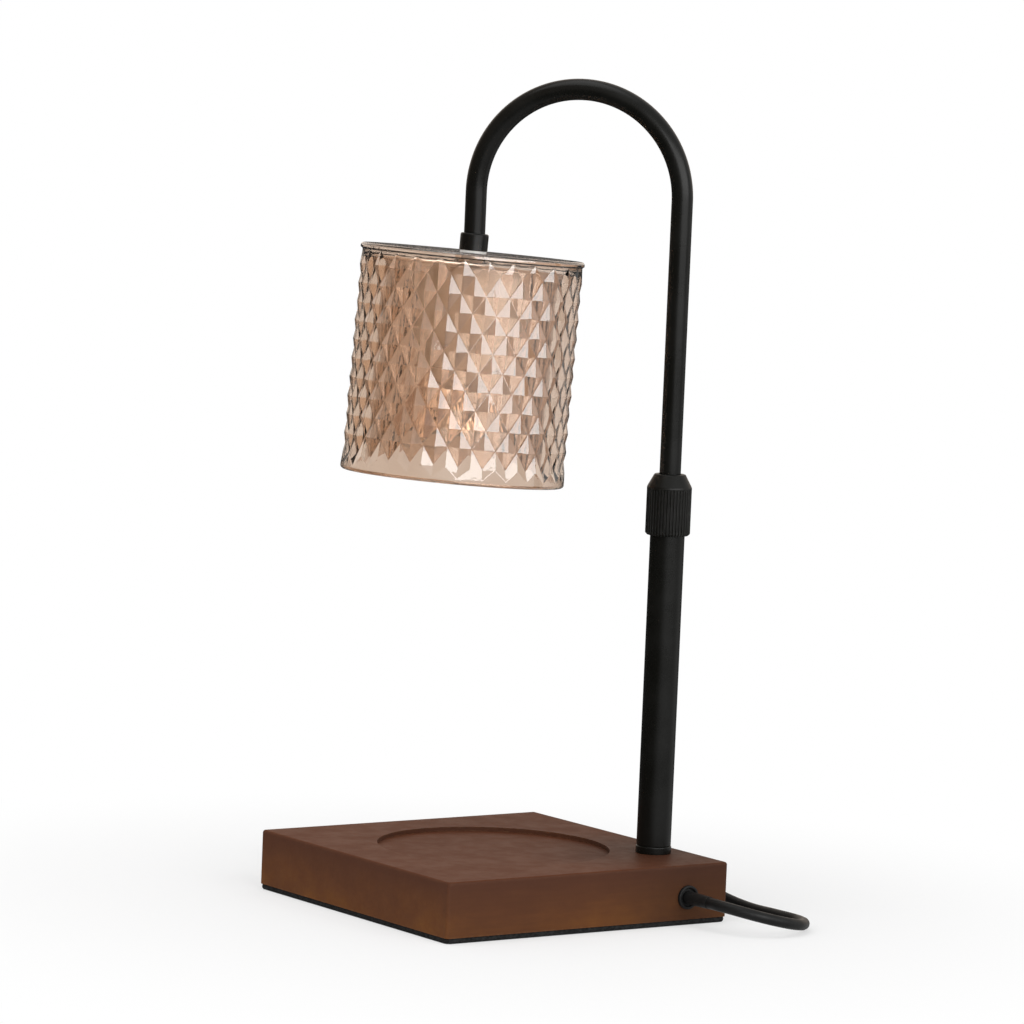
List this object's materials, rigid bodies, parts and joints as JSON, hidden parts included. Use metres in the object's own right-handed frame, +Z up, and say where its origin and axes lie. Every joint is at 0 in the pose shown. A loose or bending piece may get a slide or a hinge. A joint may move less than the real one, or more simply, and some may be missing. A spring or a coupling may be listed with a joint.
{
  "type": "candle warmer lamp",
  "caption": "Table lamp that warms a candle from above: wooden base with a dished seat, telescopic black post with a hook, faceted amber glass shade, reflector bulb, corded dimmer and plug.",
  "frame": {"origin": "middle of the base's underside, on the table", "axes": "+Z up; the base's sides run along X and Y; +X is the side beside the post, and the cord leaves through the -Y side"},
  "size_m": [0.1946, 0.2773, 0.3695],
  "materials": {
    "stained_wood": "brown stain, satin",
    "black_foam": "matte soft pad",
    "steel_plate": "rolled plate",
    "plated_steel": "zinc plated",
    "brass_thread": "turned",
    "contact_brass": "pressed",
    "black_lacquer": "black satin lacquer",
    "black_lacquer_collar": "black satin lacquer on a fluted surface",
    "nylon": "natural",
    "silicone": "translucent",
    "amber_glass": "pale amber, faceted outside",
    "socket_cover_metal": "pale lacquer",
    "white_ceramic": "glazed",
    "bulb_mirror": "coated glass",
    "bulb_lens_glass": "clear",
    "capsule_glass": "clear",
    "lead_sheath": "smooth sheath",
    "black_cord": "smooth flexible sheath",
    "black_rubber": "moulded",
    "tie_band": "woven hook and loop band",
    "black_shell": "fine grained",
    "circuit_board": "coated board",
    "control_case": "moulded",
    "wheel_plastic": "notched rim",
    "blade_metal": "nickel plated"
  },
  "bodies": {
    "base": {"base_block": "stained_wood", "base_pad": "black_foam", "counterweight": "steel_plate", "counterweight_screws": "plated_steel", "base_nipple": "brass_thread", "base_washer": "plated_steel", "base_spring_washer": "plated_steel", "base_nut": "plated_steel", "foot_plug": "black_lacquer", "outer_tube": "black_lacquer", "collet_seat": "brass_thread", "cord_gland": "black_rubber", "base_lead": "lead_sheath", "post_lead": "lead_sheath", "cord_to_dimmer": "black_cord", "dimmer_lower": "black_shell", "dimmer_upper": "black_shell", "dimmer_screws": "plated_steel", "dimmer_board": "circuit_board", "dimmer_control": "control_case", "dimmer_reliefs": "black_rubber", "cord_to_coil": "black_cord", "cord_coil": "black_cord", "cord_tie": "tie_band", "cord_to_plug": "black_cord", "plug_body": "black_rubber", "plug_blades": "blade_metal", "plug_relief": "black_rubber"},
    "guide": {"guide_bush": "nylon"},
    "collet": {"collet": "nylon"},
    "collar": {"collar": "black_lacquer_collar"},
    "arm": {"hook_tube": "black_lacquer", "stem_rings": "plated_steel", "hook_end_plug": "plated_steel", "head_nipple": "brass_thread", "ferrule": "black_lacquer", "shade_gasket": "silicone", "glass_shade": "amber_glass", "shade_grommet": "silicone", "socket_cover": "socket_cover_metal", "holder_bracket": "plated_steel", "lock_nut": "plated_steel", "lamp_holder": "white_ceramic", "holder_contacts": "contact_brass", "holder_screws": "plated_steel", "bulb_pins": "plated_steel", "bulb_neck": "white_ceramic", "bulb_reflector": "bulb_mirror", "bulb_lens": "bulb_lens_glass", "bulb_capsule": "capsule_glass", "hook_lead": "lead_sheath", "socket_cores": "lead_sheath"},
    "dimmer_wheel": {"dimmer_wheel": "wheel_plastic"}
  },
  "joints": [
    {"name": "height_slide", "type": "slide", "parent": "base", "child": "guide", "axis": [0, 0, 1], "range_m": [-0.09, 0.009], "deforming": ["post_lead"]},
    {"name": "arm_swing", "type": "hinge", "parent": "guide", "child": "arm", "pos_m": [0.0584, -0.0411, 0.1466], "axis": [0, 0, 1], "range_deg": [-170, 170]},
    {"name": "collet_lift", "type": "slide", "parent": "base", "child": "collet", "axis": [0, 0, 1], "range_m": [0, 0.00112]},
    {"name": "collar_turn", "type": "hinge", "parent": "collet", "child": "collar", "pos_m": [0.0584, -0.0411, 0.183], "axis": [0, 0, 1], "range_deg": [0, 272]},
    {"name": "dimmer_wheel_turn", "type": "hinge", "parent": "base", "child": "dimmer_wheel", "pos_m": [0.096, 0.0155, 0.008], "axis": [0, 0, 1], "range_deg": [0, 270]}
  ],
  "couplings": [
    {"joint": "collar_turn", "follows": "collet_lift", "rad_per_m": 4188.8}
  ]
}
